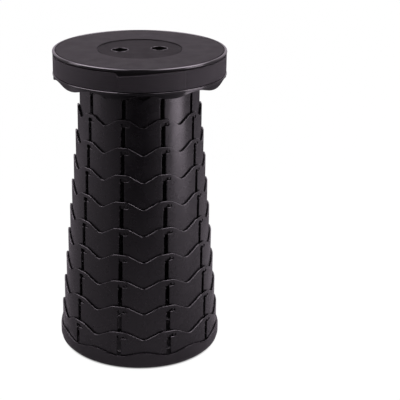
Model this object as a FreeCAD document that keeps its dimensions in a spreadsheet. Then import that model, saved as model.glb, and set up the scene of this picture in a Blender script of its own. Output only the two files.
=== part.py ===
"""Collapsible telescopic stool: a dished base, ten nested slotted rings and a round seat with its strap.

Millimetres, +Z up, origin at the middle of the base's underside. -Y is the front and +X is the right.
The stool stands pulled out, with each ring's pins in the notches of the ring that it slides in.
"""
import FreeCAD, Part
import Sketcher
import math
import os

SIZES = [
    ("petals", 10, "slots, lobes and pins round each ring"),
    ("slot_azimuth", 21.2, "degrees from the front to the first column of slots, towards the right"),
    ("hole_azimuth", 8.6, "degrees that the line of finger holes is turned from the X axis"),
    # The rings
    ("top_ring_radius", 86.9, "outer radius of the uppermost and narrowest ring"),
    ("ring_wall", 2.4, "thickness of every ring's wall"),
    ("ring_gap", 1.04, "free gap between a ring and the next, all round"),
    ("ring_rise", 39.0, "height that each ring adds when it is pulled out, which is also its travel"),
    ("base_lift", 7.6, "height of the lowest ring's foot over the ground"),
    ("valley_depth", 11.0, "depth of the valleys in a ring's wavy upper edge"),
    ("valley_round", 8.0, "radius at the bottom of the uppermost ring's valleys; wider rings have more"),
    ("crest_flat", 4.5, "half the level stretch at the top of that ring's lobes; wider rings have more"),
    ("flank_share", 1.6, "slope of the wavy edge's straight flanks over the edge's mean slope"),
    # The slots, with their locking notches, and the pins
    ("slot_land", 5.0, "height of the wall over a slot"),
    ("slot_width", 6.2, "width of the slot's upright leg"),
    ("slot_foot", 6.5, "height of the wall under a slot"),
    ("notch_turn", 4.4, "degrees that a ring turns to lock, from the slot's leg to the notch"),
    ("pin_diameter", 4.2, "width of a locking pin across its flats"),
    ("pin_play", 0.25, "gap round a pin"),
    ("pin_foot", 1.7, "height of the wall under a pin"),
    ("pin_recess", 1.0, "depth of a pin's end under the outer face that it shows through"),
    ("track_skin", 0.8, "wall that is left outside the track that a pin runs down in"),
    # The seat
    ("seat_radius", 125.0, "outer radius of the seat's bead"),
    ("seat_plate", 2.6, "thickness of the seat's top"),
    ("seat_side", 32.2, "depth of the seat cover's side, from the top"),
    ("side_radius", 123.0, "outer radius of the seat cover's side under the strap"),
    ("side_wall", 2.2, "thickness of the seat cover's side"),
    ("bead_height", 4.0, "height of the rounded bead round the top"),
    ("groove_depth", 0.8, "depth of the fine groove inside the bead"),
    ("groove_width", 1.2, "width of that groove"),
    ("dish_radius", 60.0, "radius of the shallow recess in the middle of the seat"),
    ("dish_depth", 1.2, "depth of that recess"),
    ("hole_radius", 11.3, "radius of each finger hole"),
    ("hole_spread", 28.5, "distance from the middle to each finger hole"),
    ("hole_lip", 7.0, "depth of the collar round a finger hole"),
    ("hole_lip_wall", 2.0, "thickness of that collar"),
    ("seat_rib_depth", 9.0, "depth of the ribs under the seat"),
    ("rib_thickness", 2.0, "thickness of every rib"),
    ("rib_hub_radius", 50.0, "radius of the ring rib that the radial ribs start from"),
    ("seat_travel", 35.75, "height that the seat goes down over the uppermost ring"),
    ("nest_gap", 4.1, "gap over the nested rings when the stool is closed"),
    ("collar_flange", 6.0, "width of the flange that holds the collar under the seat"),
    ("skirt_wall", 2.2, "thickness of the wavy skirt"),
    ("skirt_radius", 124.0, "outer radius of the wavy skirt"),
    ("skirt_bead", 3.6, "height of the skirt's glossy bead"),
    ("skirt_lip", 6.0, "height of the skirt's upstand inside the seat cover"),
    ("skirt_drop", 10.4, "depth of the skirt's lobes under the seat cover's side"),
    ("skirt_lip_wall", 1.3, "thickness of that upstand"),
    ("skirt_seat_gap", 0.3, "gap between the skirt's upstand and the seat cover's side"),
    ("rim_gap", 1.0, "gap between the skirt and the base's rim when the stool is closed"),
    # The base
    ("base_radius", 121.0, "outer radius of the base's wall"),
    ("base_wall", 2.2, "thickness of the base"),
    ("base_edge", 10.0, "radius of the base's rounded lower edge"),
    ("wave_depth", 6.0, "depth of the waves in the base's rim and in the seat's skirt"),
    ("wave_round", 54.0, "radius at the middle of those waves"),
    ("wave_angle", 14.0, "slope in degrees of those waves' flanks"),
    ("step_outer", 72.0, "outer radius of the ring-shaped step under the base"),
    ("step_inner", 60.0, "inner radius of that step"),
    ("step_depth", 1.6, "depth of that step"),
    ("base_rib_inner", 76.0, "radius at which the ribs that carry the closed rings start"),
    ("rest_gap", 0.3, "gap between those ribs and the rings when the stool is closed"),
    ("clip_width", 9.0, "width of each clip that holds the lowest ring"),
    ("clip_height", 4.6, "length of each clip under the lowest ring"),
    ("clip_play", 0.25, "gap round a clip in its window"),
    # The strap
    ("strap_width", 26.0, "width of the webbing round the seat"),
    ("strap_thickness", 1.4, "thickness of the webbing"),
    ("strap_play", 0.1, "gap between the webbing and the seat cover's side"),
    ("strap_lift", 0.8, "height of the webbing's lower edge over the seat cover's side"),
    ("loop_span", 74.0, "width of the carrying loop, outside"),
    ("loop_reach", 46.0, "distance that the carrying loop stands out of the strap"),
    ("loop_corner", 18.0, "outer radius of the carrying loop's corners"),
    ("loop_width", 20.0, "width of the carrying loop's webbing"),
    ("tail_sweep", 44.0, "degrees of the strap's overlapping tail"),
    ("tail_azimuth", -14.0, "degrees from the front to the end of the tail"),
    ("loop_gap", 0.2, "gap between the loop's ends and the strap"),
    ("slider_wall", 1.8, "thickness of the slider's frame"),
    ("slider_play", 0.3, "gap between the slider and the webbing"),
    ("slider_length", 9.0, "length of the slider along the webbing"),
    ("slider_set", 4.0, "distance from the strap to the slider at rest"),
]

doc = FreeCAD.newDocument("TelescopicStool")
sheet = doc.addObject("Spreadsheet::Sheet", "Sizes")
for row, (alias, number, note) in enumerate(SIZES, start=1):
    sheet.set("A%d" % row, alias)
    sheet.set("B%d" % row, str(number))
    sheet.setAlias("B%d" % row, alias)
    sheet.set("C%d" % row, note)
doc.recompute()


def size(alias):
    """The number in the sheet's cell of that name."""
    return float(sheet.get(alias))


def value(expression):
    """The number that an expression in the sheet's sizes gives."""
    return float(sheet.evalExpression(expression))


# Lengths and heights that follow from the sizes, as expressions
RING_COUNT = 10
PETAL_HALF = "(180 / Sizes.petals)"
RING_STEP = "(Sizes.ring_wall + Sizes.ring_gap)"
PIN_RADIUS = "(Sizes.pin_diameter / 2)"
NOTCH_PIN = "(Sizes.slot_land + Sizes.pin_play + Sizes.pin_diameter / 2)"
RING_HEIGHT = "(Sizes.ring_rise + %s + %s + Sizes.pin_foot)" % (NOTCH_PIN, PIN_RADIUS)
LOWEST_CREST = "(Sizes.base_lift + %s)" % RING_HEIGHT
TOP_CREST = "(%s + Sizes.ring_rise * %d)" % (LOWEST_CREST, RING_COUNT - 1)
LOWEST_RADIUS = "(Sizes.top_ring_radius + %s * %d)" % (RING_STEP, RING_COUNT - 1)
SEAT_UNDER = "(%s + Sizes.nest_gap + Sizes.seat_travel)" % TOP_CREST
SEAT_TOP = "(%s + Sizes.seat_plate)" % SEAT_UNDER
SIDE_FOOT = "(%s - Sizes.seat_side)" % SEAT_TOP
SIDE_INNER = "(Sizes.side_radius - Sizes.side_wall)"
SKIRT_FOOT = "(%s - Sizes.skirt_drop)" % SIDE_FOOT
CLOSING = "(Sizes.ring_rise * %d + Sizes.seat_travel)" % (RING_COUNT - 1)
RIM_TOP = "(%s + Sizes.wave_depth - %s - Sizes.rim_gap)" % (SKIRT_FOOT, CLOSING)
PIN_ANGLE = "(%s + Sizes.notch_turn)" % PETAL_HALF
BODY_TURN = "(Sizes.slot_azimuth - %s)" % PETAL_HALF
COLLAR_RADIUS = "(Sizes.top_ring_radius - %s)" % RING_STEP
STRAP_INNER = "(Sizes.side_radius + Sizes.strap_play)"
STRAP_OUTER = "(%s + Sizes.strap_thickness)" % STRAP_INNER
STRAP_FOOT = "(%s + Sizes.strap_lift)" % SIDE_FOOT


def ring_radius(number):
    """Outer radius of a ring, counted from 1 at the top; number 0 is the seat's collar."""
    return "(Sizes.top_ring_radius + %s * %d)" % (RING_STEP, number - 1)


def new_body(label):
    """A body with its own label, which names its file."""
    body = doc.addObject("PartDesign::Body", label.title().replace("_", ""))
    body.Label = label
    return body


def place(body, height="0", turn=BODY_TURN):
    """Lift a body to its height and turn it about the stool's axis, bound to the sheet."""
    body.Placement = FreeCAD.Placement(FreeCAD.Vector(), FreeCAD.Rotation(FreeCAD.Vector(0, 0, 1), 1))
    body.setExpression("Placement.Base.z", height)
    body.setExpression("Placement.Rotation.Angle", turn)


def origin_part(body, role):
    """One of the planes or axes of a body's own origin."""
    return next(part for part in body.Origin.OriginFeatures if part.Role == role)


def new_sketch(body, name, role="XZ_Plane", turn=None, out=None, lift=None):
    """A sketch on one of the body's origin planes, turned about the Z axis and set out along its normal."""
    sketch = body.newObject("Sketcher::SketchObject", name)
    sketch.AttachmentSupport = [(origin_part(body, role), "")]
    sketch.MapMode = "FlatFace"
    if turn is not None:
        start = FreeCAD.Rotation(FreeCAD.Vector(0, 1, 0), 1)
        sketch.AttachmentOffset = FreeCAD.Placement(FreeCAD.Vector(), start)
        sketch.setExpression("AttachmentOffset.Rotation.Angle", turn)
        if out is not None:
            sketch.setExpression("AttachmentOffset.Base.x", "(%s) * sin(%s)" % (out, turn))
            sketch.setExpression("AttachmentOffset.Base.z", "(%s) * cos(%s)" % (out, turn))
    if lift is not None:
        sketch.setExpression("AttachmentOffset.Base.z", lift)
    return sketch


def bind(sketch, constraint, expression):
    """Add one constraint whose number is an expression in the sheet's sizes."""
    index = sketch.addConstraint(constraint)
    sketch.setExpression("Constraints[%d]" % index, expression)


def arc_between(start, end, radius, left):
    """An arc with this radius from start to end; left says on which side its middle bulges."""
    chord = end - start
    half = chord.Length / 2
    side = FreeCAD.Vector(-chord.y, chord.x, 0).normalize() * (1 if left else -1)
    centre = (start + end) / 2 - side * math.sqrt(max(radius ** 2 - half ** 2, 0))
    first, last = (end, start) if left else (start, end)
    angles = [math.atan2(point.y - centre.y, point.x - centre.x) for point in (first, last)]
    circle = Part.Circle(centre, FreeCAD.Vector(0, 0, 1), radius)
    return Part.ArcOfCircle(circle, angles[0], angles[1])


def outline(sketch, corners, arcs=None):
    """A closed outline. Corners are pairs of expressions, and arcs gives (radius, left) for the round edges."""
    arcs = arcs or {}
    points = [FreeCAD.Vector(value(across), value(up), 0) for across, up in corners]
    edges = []
    for index, start in enumerate(points):
        end = points[(index + 1) % len(points)]
        if index in arcs:
            radius, left = arcs[index]
            geometry = sketch.addGeometry(arc_between(start, end, value(radius), left), False)
            edges.append((geometry, 2, 1) if left else (geometry, 1, 2))
        else:
            geometry = sketch.addGeometry(Part.LineSegment(start, end), False)
            edges.append((geometry, 1, 2))
    for index, (geometry, _, last) in enumerate(edges):
        following, first, _ = edges[(index + 1) % len(edges)]
        sketch.addConstraint(Sketcher.Constraint("Coincident", geometry, last, following, first))
    for index, (geometry, first, _) in enumerate(edges):
        across, up = corners[index]
        point = points[index]
        bind(sketch, Sketcher.Constraint("DistanceX", -1, 1, geometry, first, point.x), across)
        bind(sketch, Sketcher.Constraint("DistanceY", -1, 1, geometry, first, point.y), up)
        if index in arcs:
            radius = arcs[index][0]
            bind(sketch, Sketcher.Constraint("Radius", geometry, value(radius)), radius)


def disc(sketch, across, up, radius):
    """A circle in a sketch, bound to the sheet."""
    centre = FreeCAD.Vector(value(across), value(up), 0)
    circle = Part.Circle(centre, FreeCAD.Vector(0, 0, 1), value(radius))
    geometry = sketch.addGeometry(circle, False)
    bind(sketch, Sketcher.Constraint("DistanceX", -1, 1, geometry, 3, centre.x), across)
    bind(sketch, Sketcher.Constraint("DistanceY", -1, 1, geometry, 3, centre.y), up)
    bind(sketch, Sketcher.Constraint("Radius", geometry, value(radius)), radius)


def revolve(body, sketch, name):
    """Turn a profile about the stool's axis."""
    feature = body.newObject("PartDesign::Revolution", name)
    feature.Profile = sketch
    feature.ReferenceAxis = (sketch, ["V_Axis"])
    feature.Angle = 360
    sketch.Visibility = False
    return feature


def pad(body, sketch, name, length, back=False):
    """Add material from a sketch along its normal, or against it."""
    feature = body.newObject("PartDesign::Pad", name)
    feature.Profile = sketch
    feature.Length = value(length)
    feature.setExpression("Length", length)
    feature.Reversed = back
    return feature


def pocket(body, sketch, name, length, back=False):
    """Cut from a sketch along its normal, or against it with back."""
    feature = body.newObject("PartDesign::Pocket", name)
    feature.Profile = sketch
    feature.Length = value(length)
    feature.setExpression("Length", length)
    feature.Reversed = not back
    return feature


def round_pattern(body, features, name):
    """Repeat features about the stool's axis, once per petal."""
    pattern = body.newObject("PartDesign::PolarPattern", name)
    pattern.Originals = features
    pattern.Axis = (origin_part(body, "Z_Axis"), [""])
    pattern.Angle = 360
    pattern.Occurrences = int(size("petals"))
    pattern.setExpression("Occurrences", "Sizes.petals")
    body.Tip = pattern
    return pattern


def wave(radius, depth, round_radius, flat, angle, level, up):
    """Corners and arcs of a cut that leaves one wave in an edge at this level.

    The edge is level at both ends, where the next wave meets it, and is deepest in the middle. The cut
    lies above the edge, or below it with up.
    """
    sign = "" if up else "-"
    span = "(%s * sin(%s) - %s)" % (radius, PETAL_HALF, flat)
    broad = "((%s * tan(%s) - %s) / (1 / cos(%s) - 1) - %s)" % (span, angle, depth, angle, round_radius)
    broad_across = "(%s - %s * sin(%s))" % (span, broad, angle)
    broad_up = "(%s + %s(%s) * (1 - cos(%s)))" % (level, sign, broad, angle)
    small_across = "(%s * sin(%s))" % (round_radius, angle)
    small_up = "(%s + %s(%s - %s * (1 - cos(%s))))" % (level, sign, depth, round_radius, angle)
    clear = "(%s - %s(%s))" % (level, sign, depth)
    corners = [
        ("-%s" % span, clear),
        ("-%s" % span, level),
        ("-%s" % broad_across, broad_up),
        ("-%s" % small_across, small_up),
        (small_across, small_up),
        (broad_across, broad_up),
        (span, level),
        (span, clear),
    ]
    arcs = {1: (broad, not up), 3: (round_radius, up), 5: (broad, not up)}
    return corners, arcs


def box(x_low, x_high, y_low, y_high):
    """Corners of a rectangle."""
    return [(x_low, y_low), (x_high, y_low), (x_high, y_high), (x_low, y_high)]


def locking_pin(body, radius, foot):
    """The eight-sided pin that reaches into the next ring, over this wall's foot."""
    start = "(%s - Sizes.track_skin / 2)" % radius
    level = "(%s + Sizes.pin_foot + %s)" % (foot, PIN_RADIUS)
    flat = "(%s * tan(22.5))" % PIN_RADIUS
    sketch = new_sketch(body, "PinSketch", turn=PIN_ANGLE, out=start)
    outline(sketch, [
        (across, "(%s + %s)" % (level, up))
        for across, up in [
            (PIN_RADIUS, "-%s" % flat), (PIN_RADIUS, flat), (flat, PIN_RADIUS), ("-%s" % flat, PIN_RADIUS),
            ("-%s" % PIN_RADIUS, flat), ("-%s" % PIN_RADIUS, "-%s" % flat), ("-%s" % flat, "-%s" % PIN_RADIUS),
            (flat, "-%s" % PIN_RADIUS),
        ]
    ])
    return pad(body, sketch, "Pin", "%s + Sizes.track_skin / 2 - Sizes.pin_recess" % RING_STEP)


def make_ring(number):
    """One nested ring. In its own frame the lobes' crests are at height 0 and a valley is at the front."""
    radius = ring_radius(number)
    inner = "(%s - Sizes.ring_wall)" % radius
    foot = "(-%s)" % RING_HEIGHT
    through = "(%s + Sizes.ring_wall)" % radius
    body = new_body("ring_%d" % number)

    wall = new_sketch(body, "WallProfile")
    outline(wall, box(inner, radius, foot, "0"))
    revolve(body, wall, "Wall")

    growth = "(%s / Sizes.top_ring_radius)" % radius
    flank = "atan(Sizes.flank_share * Sizes.valley_depth * Sizes.petals / (pi * %s))" % radius
    edge = new_sketch(body, "WavyEdge")
    outline(edge, *wave(radius, "Sizes.valley_depth", "(Sizes.valley_round * %s)" % growth,
                        "(Sizes.crest_flat * %s)" % growth, flank, "0", up=False))
    features = [pocket(body, edge, "Valley", through)]

    notch_foot = "(-(Sizes.slot_land + Sizes.pin_diameter + 2 * Sizes.pin_play))"
    notch_end = "(%s * sin(Sizes.notch_turn) + %s + Sizes.pin_play)" % (radius, PIN_RADIUS)
    half = "(Sizes.slot_width / 2)"
    corner = "(Sizes.slot_width / 4)"
    top = "(-Sizes.slot_land)"
    slot = new_sketch(body, "SlotSketch", turn=PETAL_HALF)
    outline(slot, [
        ("-%s" % half, "(Sizes.slot_foot - %s)" % RING_HEIGHT),
        (half, "(Sizes.slot_foot - %s)" % RING_HEIGHT),
        (half, notch_foot),
        (notch_end, notch_foot),
        (notch_end, "(%s - %s)" % (top, corner)),
        ("(%s - %s)" % (notch_end, corner), top),
        ("(%s - %s)" % (corner, half), top),
        ("-%s" % half, "(%s - %s)" % (top, corner)),
    ])
    features.append(pocket(body, slot, "Slot", through))

    track = new_sketch(body, "TrackSketch", turn=PIN_ANGLE)
    track_half = "(%s + Sizes.pin_play)" % PIN_RADIUS
    outline(track, box("-%s" % track_half, track_half, "(%s - Sizes.ring_wall)" % foot, "(-%s)" % NOTCH_PIN))
    features.append(pocket(body, track, "Track", "%s - Sizes.track_skin" % radius))

    if number < RING_COUNT:
        features.append(locking_pin(body, radius, foot))
    else:
        clip = new_sketch(body, "ClipSketch", role="XY_Plane", lift=foot)
        clip_half = "(Sizes.clip_width / 2)"
        clip_edge = "(Sizes.ring_wall / 10)"
        outline(clip, box("-%s" % clip_half, clip_half, "-(%s - %s)" % (radius, clip_edge),
                          "-(%s + %s)" % (inner, clip_edge)))
        features.append(pad(body, clip, "Clip", "Sizes.clip_height", back=True))
    round_pattern(body, features, "Petals")
    place(body, "%s - Sizes.ring_rise * %d" % (TOP_CREST, number - 1))
    return body


def make_seat_collar():
    """The collar under the seat, whose pins lock in the uppermost ring. It is ring number 0, without slots."""
    radius = COLLAR_RADIUS
    inner = "(%s - Sizes.ring_wall)" % radius
    foot = "(%s + Sizes.ring_rise - %s)" % (TOP_CREST, RING_HEIGHT)
    flange_inner = "(%s - Sizes.collar_flange)" % inner
    body = new_body("seat_collar")
    profile = new_sketch(body, "CollarProfile")
    outline(profile, [
        (inner, foot),
        (radius, foot),
        (radius, SEAT_UNDER),
        (flange_inner, SEAT_UNDER),
        (flange_inner, "(%s - Sizes.ring_wall)" % SEAT_UNDER),
        (inner, "(%s - Sizes.ring_wall)" % SEAT_UNDER),
    ])
    revolve(body, profile, "Collar")
    round_pattern(body, [locking_pin(body, radius, foot)], "Pins")
    place(body)
    return body


def finger_holes(body, name, radius, level):
    """A sketch with the two finger holes, or with the collars round them, in plan."""
    sketch = new_sketch(body, name, role="XY_Plane", lift=level)
    for side in ("-", ""):
        across = "%s(Sizes.hole_spread * cos(Sizes.hole_azimuth - %s))" % (side, BODY_TURN)
        back = "%s(Sizes.hole_spread * sin(Sizes.hole_azimuth - %s))" % (side, BODY_TURN)
        disc(sketch, across, back, radius)
    return sketch


def make_seat_cover():
    """The seat's top, with its bead, groove and shallow recess, its side and the ribs underneath."""
    under_dish = "(%s - Sizes.dish_depth)" % SEAT_UNDER
    top_dish = "(%s - Sizes.dish_depth)" % SEAT_TOP
    dish_edge = "(Sizes.dish_radius + Sizes.dish_depth)"
    bead_round = "(Sizes.bead_height / 2)"
    bead_centre = "(Sizes.seat_radius - %s)" % bead_round
    groove_outer = "(%s - %s)" % (bead_centre, bead_round)
    groove_foot = "(%s - Sizes.groove_depth)" % SEAT_TOP
    bead_foot = "(%s - Sizes.bead_height)" % SEAT_TOP
    body = new_body("seat_cover")
    profile = new_sketch(body, "CoverProfile")
    outline(profile, [
        ("0", under_dish),
        ("Sizes.dish_radius", under_dish),
        (dish_edge, SEAT_UNDER),
        ("(%s - Sizes.side_wall)" % SIDE_INNER, SEAT_UNDER),
        (SIDE_INNER, "(%s - Sizes.side_wall)" % SEAT_UNDER),
        (SIDE_INNER, SIDE_FOOT),
        ("Sizes.side_radius", SIDE_FOOT),
        ("Sizes.side_radius", bead_foot),
        ("Sizes.seat_radius", "(%s - %s)" % (SEAT_TOP, bead_round)),
        ("(%s + %s * cos(45))" % (bead_centre, bead_round), "(%s - %s * (1 - sin(45)))" % (SEAT_TOP, bead_round)),
        (bead_centre, SEAT_TOP),
        (groove_outer, groove_foot),
        ("(%s - Sizes.groove_width)" % groove_outer, groove_foot),
        ("(%s - Sizes.groove_width)" % groove_outer, SEAT_TOP),
        (dish_edge, SEAT_TOP),
        ("Sizes.dish_radius", top_dish),
        ("0", top_dish),
    ])
    revolve(body, profile, "Cover")

    mid_plate = "(%s - Sizes.dish_depth + Sizes.seat_plate / 2)" % SEAT_UNDER
    lips = finger_holes(body, "LipSketch", "(Sizes.hole_radius + Sizes.hole_lip_wall)", mid_plate)
    pad(body, lips, "Lips", "Sizes.hole_lip", back=True)

    rib_level = "(%s + Sizes.seat_plate / 4)" % SEAT_UNDER
    rib_length = "Sizes.seat_rib_depth + Sizes.seat_plate / 4"
    hub = new_sketch(body, "HubSketch", role="XY_Plane", lift=rib_level)
    disc(hub, "0", "0", "Sizes.rib_hub_radius")
    disc(hub, "0", "0", "Sizes.rib_hub_radius + Sizes.rib_thickness")
    pad(body, hub, "HubRib", rib_length, back=True)

    rib = new_sketch(body, "RibSketch", role="XY_Plane", lift=rib_level)
    collar_inner = "(%s - Sizes.ring_wall - Sizes.collar_flange)" % COLLAR_RADIUS
    outline(rib, box("Sizes.rib_hub_radius + Sizes.rib_thickness / 2", "%s - Sizes.rest_gap" % collar_inner,
                     "-Sizes.rib_thickness / 2", "Sizes.rib_thickness / 2"))
    round_pattern(body, [pad(body, rib, "Rib", rib_length, back=True)], "Ribs")

    lower = finger_holes(body, "LowerHoles", "Sizes.hole_radius", mid_plate)
    pocket(body, lower, "HolesDown", "Sizes.hole_lip + Sizes.seat_plate", back=True)
    upper = finger_holes(body, "UpperHoles", "Sizes.hole_radius", mid_plate)
    pocket(body, upper, "HolesUp", "Sizes.seat_plate")
    place(body)
    return body


def make_seat_skirt():
    """The wavy ring under the seat's side: a glossy bead, a lobed skirt and an upstand inside the cover."""
    inner = "(Sizes.skirt_radius - Sizes.skirt_wall)"
    lip_outer = "(%s - Sizes.skirt_seat_gap)" % SIDE_INNER
    lip_inner = "(%s - Sizes.skirt_lip_wall)" % lip_outer
    bead_foot = "(%s - Sizes.skirt_bead)" % SIDE_FOOT
    bead_corner = "(Sizes.seat_radius - Sizes.skirt_radius)"
    body = new_body("seat_skirt")
    profile = new_sketch(body, "SkirtProfile")
    outline(profile, [
        (inner, SKIRT_FOOT),
        ("Sizes.skirt_radius", SKIRT_FOOT),
        ("Sizes.skirt_radius", bead_foot),
        ("Sizes.seat_radius", "(%s + %s)" % (bead_foot, bead_corner)),
        ("Sizes.seat_radius", "(%s - %s / 2)" % (SIDE_FOOT, bead_corner)),
        ("(Sizes.seat_radius - %s / 2)" % bead_corner, SIDE_FOOT),
        (lip_outer, SIDE_FOOT),
        (lip_outer, "(%s + Sizes.skirt_lip)" % SIDE_FOOT),
        (lip_inner, "(%s + Sizes.skirt_lip)" % SIDE_FOOT),
        (lip_inner, bead_foot),
        (inner, "(%s - %s)" % (bead_foot, bead_corner)),
    ])
    revolve(body, profile, "Skirt")
    edge = new_sketch(body, "WavyEdge")
    outline(edge, *wave("Sizes.skirt_radius", "Sizes.wave_depth", "Sizes.wave_round", "0",
                        "Sizes.wave_angle", SKIRT_FOOT, up=True))
    round_pattern(body, [pocket(body, edge, "Wave", "Sizes.seat_radius + Sizes.skirt_wall")], "Waves")
    place(body)
    return body


def make_base_dish():
    """The dished base: rounded lower edge, wavy rim, ribs that carry the rings, and windows for the clips."""
    inner = "(Sizes.base_radius - Sizes.base_wall)"
    edge_start = "(Sizes.base_radius - Sizes.base_edge)"
    inner_edge = "(Sizes.base_edge - Sizes.base_wall - Sizes.ring_gap)"
    inner_start = "(%s - %s)" % (inner, inner_edge)
    step_top = "(Sizes.base_wall + Sizes.step_depth)"
    body = new_body("base_dish")
    profile = new_sketch(body, "DishProfile")
    outline(profile, [
        ("0", "0"),
        ("Sizes.step_inner", "0"),
        ("Sizes.step_inner", "Sizes.step_depth"),
        ("Sizes.step_outer", "Sizes.step_depth"),
        ("Sizes.step_outer", "0"),
        (edge_start, "0"),
        ("(%s + Sizes.base_edge * sin(30))" % edge_start, "(Sizes.base_edge * (1 - cos(30)))"),
        ("(%s + Sizes.base_edge * sin(60))" % edge_start, "(Sizes.base_edge * (1 - cos(60)))"),
        ("Sizes.base_radius", "Sizes.base_edge"),
        ("Sizes.base_radius", RIM_TOP),
        (inner, RIM_TOP),
        (inner, "(Sizes.base_wall + %s)" % inner_edge),
        ("(%s + %s * sin(45))" % (inner_start, inner_edge), "(Sizes.base_wall + %s * (1 - cos(45)))" % inner_edge),
        (inner_start, "Sizes.base_wall"),
        ("(Sizes.step_outer + Sizes.base_wall)", "Sizes.base_wall"),
        ("Sizes.step_outer", step_top),
        ("Sizes.step_inner", step_top),
        ("(Sizes.step_inner - Sizes.base_wall)", "Sizes.base_wall"),
        ("0", "Sizes.base_wall"),
    ])
    revolve(body, profile, "Dish")

    rim = new_sketch(body, "WavyRim", turn=PETAL_HALF)
    outline(rim, *wave("Sizes.base_radius", "Sizes.wave_depth", "Sizes.wave_round", "0",
                       "Sizes.wave_angle", RIM_TOP, up=False))
    features = [pocket(body, rim, "Wave", "Sizes.base_radius + Sizes.base_wall")]

    # A rib's inner part stops short of the rings that come down, and its outer part carries the lowest ring
    foot_inner = "(%s - Sizes.ring_wall - Sizes.ring_gap / 2)" % LOWEST_RADIUS
    rib_end = "(%s + Sizes.base_wall / 4)" % inner
    rib_top = "(Sizes.base_lift - Sizes.rest_gap)"
    rib = new_sketch(body, "RibProfile")
    outline(rib, [
        ("Sizes.base_rib_inner", "Sizes.base_wall / 2"),
        (inner_start, "Sizes.base_wall / 2"),
        (rib_end, "Sizes.base_edge / 2"),
        (rib_end, "Sizes.base_lift"),
        (foot_inner, "Sizes.base_lift"),
        (foot_inner, rib_top),
        ("Sizes.base_rib_inner", rib_top),
    ])
    ribs = pad(body, rib, "Rib", "Sizes.rib_thickness")
    ribs.Midplane = True
    features.append(ribs)

    window = new_sketch(body, "ClipWindow", role="XY_Plane")
    window_half = "(Sizes.clip_width / 2 + Sizes.clip_play)"
    outline(window, box("-%s" % window_half, window_half, "-(%s + Sizes.clip_play)" % LOWEST_RADIUS,
                        "-(%s - Sizes.ring_wall - Sizes.clip_play)" % LOWEST_RADIUS))
    features.append(pocket(body, window, "Window", "Sizes.base_edge"))
    round_pattern(body, features, "Petals")

    holes = finger_holes(body, "HoleSketch", "Sizes.hole_radius", "0")
    pocket(body, holes, "Holes", "Sizes.base_wall * 2")
    place(body)
    return body


def make_strap_band():
    """The webbing round the seat's side, with its overlapping tail."""
    body = new_body("strap_band")
    top = "(%s + Sizes.strap_width)" % STRAP_FOOT
    band = new_sketch(body, "BandProfile")
    outline(band, box(STRAP_INNER, STRAP_OUTER, STRAP_FOOT, top))
    revolve(body, band, "Band")
    tail = new_sketch(body, "TailProfile", turn="Sizes.tail_azimuth + Sizes.tail_sweep / 2")
    middle = "(%s - Sizes.strap_thickness / 2)" % STRAP_OUTER
    outer = "(%s + Sizes.strap_thickness / 2)" % STRAP_OUTER
    outline(tail, box(middle, outer, STRAP_FOOT, top))
    feature = revolve(body, tail, "Tail")
    feature.Angle = value("Sizes.tail_sweep")
    feature.setExpression("Angle", "Sizes.tail_sweep")
    feature.Midplane = True
    place(body, turn="0")
    return body


def make_carry_loop():
    """The carrying loop of the same webbing, which stands out of the strap at the back."""
    half = "(Sizes.loop_span / 2)"
    inner_half = "(%s - Sizes.strap_thickness)" % half
    reach = "(%s + Sizes.loop_reach)" % STRAP_OUTER
    corner = "Sizes.loop_corner"
    turn_start = "(%s - %s)" % (reach, corner)
    flat = "(%s - %s)" % (half, corner)
    inner_corner = "(%s - Sizes.strap_thickness)" % corner
    root = "(sqrt(%s * %s - %s * %s) + Sizes.loop_gap)" % (STRAP_OUTER, STRAP_OUTER, half, half)
    inner_root = "(sqrt(%s * %s - %s * %s) + Sizes.loop_gap)" % (STRAP_OUTER, STRAP_OUTER, inner_half, inner_half)
    body = new_body("carry_loop")
    plan = new_sketch(body, "LoopPlan", role="XY_Plane", lift=STRAP_FOOT)
    outline(plan, [
        (half, root),
        (half, turn_start),
        (flat, reach),
        ("-%s" % flat, reach),
        ("-%s" % half, turn_start),
        ("-%s" % half, root),
        ("-%s" % inner_half, inner_root),
        ("-%s" % inner_half, turn_start),
        ("-%s" % flat, "(%s - Sizes.strap_thickness)" % reach),
        (flat, "(%s - Sizes.strap_thickness)" % reach),
        (inner_half, turn_start),
        (inner_half, inner_root),
    ], arcs={1: (corner, False), 3: (corner, False), 7: (inner_corner, True), 9: (inner_corner, True)})
    pad(body, plan, "Loop", "Sizes.loop_width")
    place(body, turn="0")
    return body


def make_strap_slider():
    """The plastic slider that runs along the loop's right leg and sets its length."""
    middle = "(Sizes.loop_span / 2 - Sizes.strap_thickness / 2)"
    slot_half = "(Sizes.strap_thickness / 2 + Sizes.slider_play)"
    frame_half = "(%s + Sizes.slider_wall)" % slot_half
    slot_low = "(%s - Sizes.slider_play)" % STRAP_FOOT
    slot_high = "(%s + Sizes.loop_width + Sizes.slider_play)" % STRAP_FOOT
    start = "(sqrt(%s * %s - %s * %s) + Sizes.slider_set)" % (STRAP_OUTER, STRAP_OUTER, middle, middle)
    body = new_body("strap_slider")
    frame = new_sketch(body, "FrameSketch", lift="-(%s)" % start)
    outline(frame, box("%s - %s" % (middle, frame_half), "%s + %s" % (middle, frame_half),
                       "%s - Sizes.slider_wall" % slot_low, "%s + Sizes.slider_wall" % slot_high))
    outline(frame, box("%s - %s" % (middle, slot_half), "%s + %s" % (middle, slot_half), slot_low, slot_high))
    pad(body, frame, "Frame", "Sizes.slider_length", back=True)
    place(body, turn="0")
    return body


bodies = [make_base_dish()]
bodies += [make_ring(number) for number in range(RING_COUNT, 0, -1)]
bodies += [make_seat_collar(), make_seat_skirt(), make_seat_cover()]
bodies += [make_strap_band(), make_carry_loop(), make_strap_slider()]
doc.recompute()

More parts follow.
